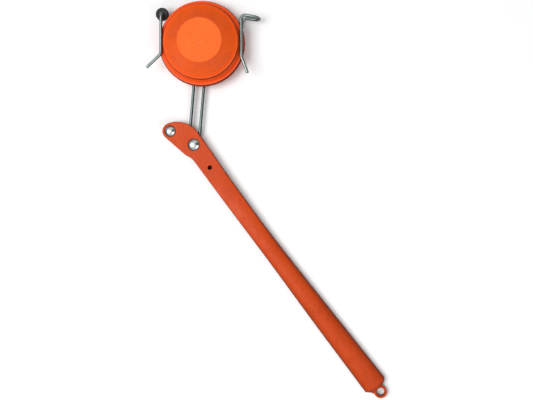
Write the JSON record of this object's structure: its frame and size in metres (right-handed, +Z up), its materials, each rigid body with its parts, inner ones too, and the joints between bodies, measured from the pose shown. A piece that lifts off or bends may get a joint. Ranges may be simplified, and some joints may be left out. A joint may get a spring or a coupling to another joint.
{
  "type": "ice fishing tip up",
  "caption": "Ice fishing tip up: moulded stake handle, riveted swinging spring-wire arm, and a line spool turning on it against a rubber brake roller.",
  "frame": {"origin": "centre of the bounding box, on the resting face", "axes": "+Z up through the thickness with the part lying on its back, +Y from the handle's eye end towards the spool, +X to the right as seen from above"},
  "size_m": [0.2406, 0.3984, 0.03],
  "materials": {
    "handle_plastic": "moulded, satin",
    "cover_plastic": "moulded, satin",
    "spool_plastic": "moulded, fluorescent orange",
    "dish_plastic": "moulded, scuffed",
    "cap_plastic": "moulded, fluorescent orange",
    "spring_wire": "drawn zinc-plated wire",
    "rivet_metal": "nickel plated",
    "axle_steel": "turned",
    "screw_zinc": "zinc plated",
    "bearing_nylon": "natural nylon",
    "carrier_plastic": "black nylon",
    "rubber_black": "matt rubber"
  },
  "bodies": {
    "handle": {"stake_handle": "handle_plastic", "head_cover_plate": "cover_plastic", "pivot_rivet": "rivet_metal", "stop_rivet": "rivet_metal", "rivet_washers": "screw_zinc", "pivot_washers": "bearing_nylon"},
    "arm": {"wire_frame": "spring_wire", "pivot_block": "bearing_nylon", "axle_saddle": "carrier_plastic", "saddle_clamp": "carrier_plastic", "clamp_screws": "screw_zinc", "axle_pin": "axle_steel", "thrust_washer": "bearing_nylon", "drag_spring_washer": "axle_steel", "axle_washer": "bearing_nylon", "axle_push_nut": "screw_zinc"},
    "spool": {"spool_back_flange": "spool_plastic", "spool_core": "spool_plastic", "spool_front_flange": "spool_plastic", "spool_front_cover": "dish_plastic", "hub_cap": "cap_plastic", "axle_bushing": "bearing_nylon", "spool_screws": "screw_zinc"},
    "roller": {"brake_roller": "rubber_black", "roller_sleeve": "carrier_plastic"}
  },
  "joints": [
    {"name": "arm_pivot", "type": "hinge", "parent": "handle", "child": "arm", "pos_m": [-0.07366, 0.05588, 0.005], "axis": [0, 0, 1], "range_deg": [-100, 41]},
    {"name": "spool_spin", "type": "hinge", "parent": "arm", "child": "spool", "pos_m": [-0.06504, 0.15641, 0.017], "axis": [0, 0, 1], "continuous": true},
    {"name": "roller_spin", "type": "hinge", "parent": "arm", "child": "roller", "pos_m": [-0.10479, 0.18586, 0.011], "axis": [0, 0, 1], "continuous": true}
  ],
  "couplings": [
    {"joint": "roller_spin", "follows": "spool_spin", "ratio": -6.628}
  ]
}
